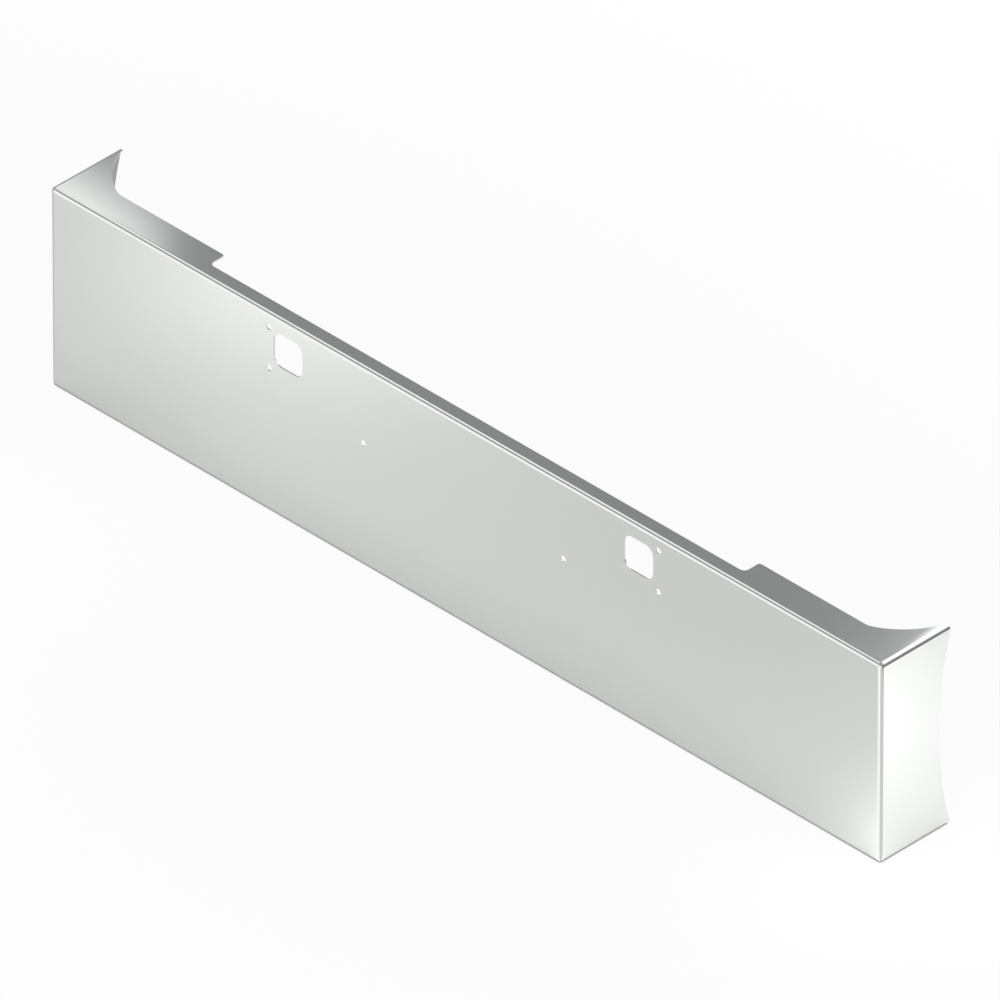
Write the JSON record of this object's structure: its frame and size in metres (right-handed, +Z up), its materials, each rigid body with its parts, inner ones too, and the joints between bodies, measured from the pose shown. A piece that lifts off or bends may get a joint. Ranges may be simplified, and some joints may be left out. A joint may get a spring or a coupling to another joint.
{
  "type": "truck front bumper",
  "caption": "Wide front bumper for a heavy truck, folded from chrome-plated steel sheet with boxed ends, tow openings and bolt holes in its face, open behind.",
  "frame": {"origin": "on the ground plane, under the middle of the bumper's length and depth", "axes": "+X along the bumper, +Y from its face towards the truck, +Z up"},
  "size_m": [2.4384, 0.2032, 0.508],
  "materials": {
    "chrome_plated_steel": "polished chrome plate on steel sheet"
  },
  "bodies": {
    "root": {"bumper_shell": "chrome_plated_steel"}
  },
  "joints": []
}
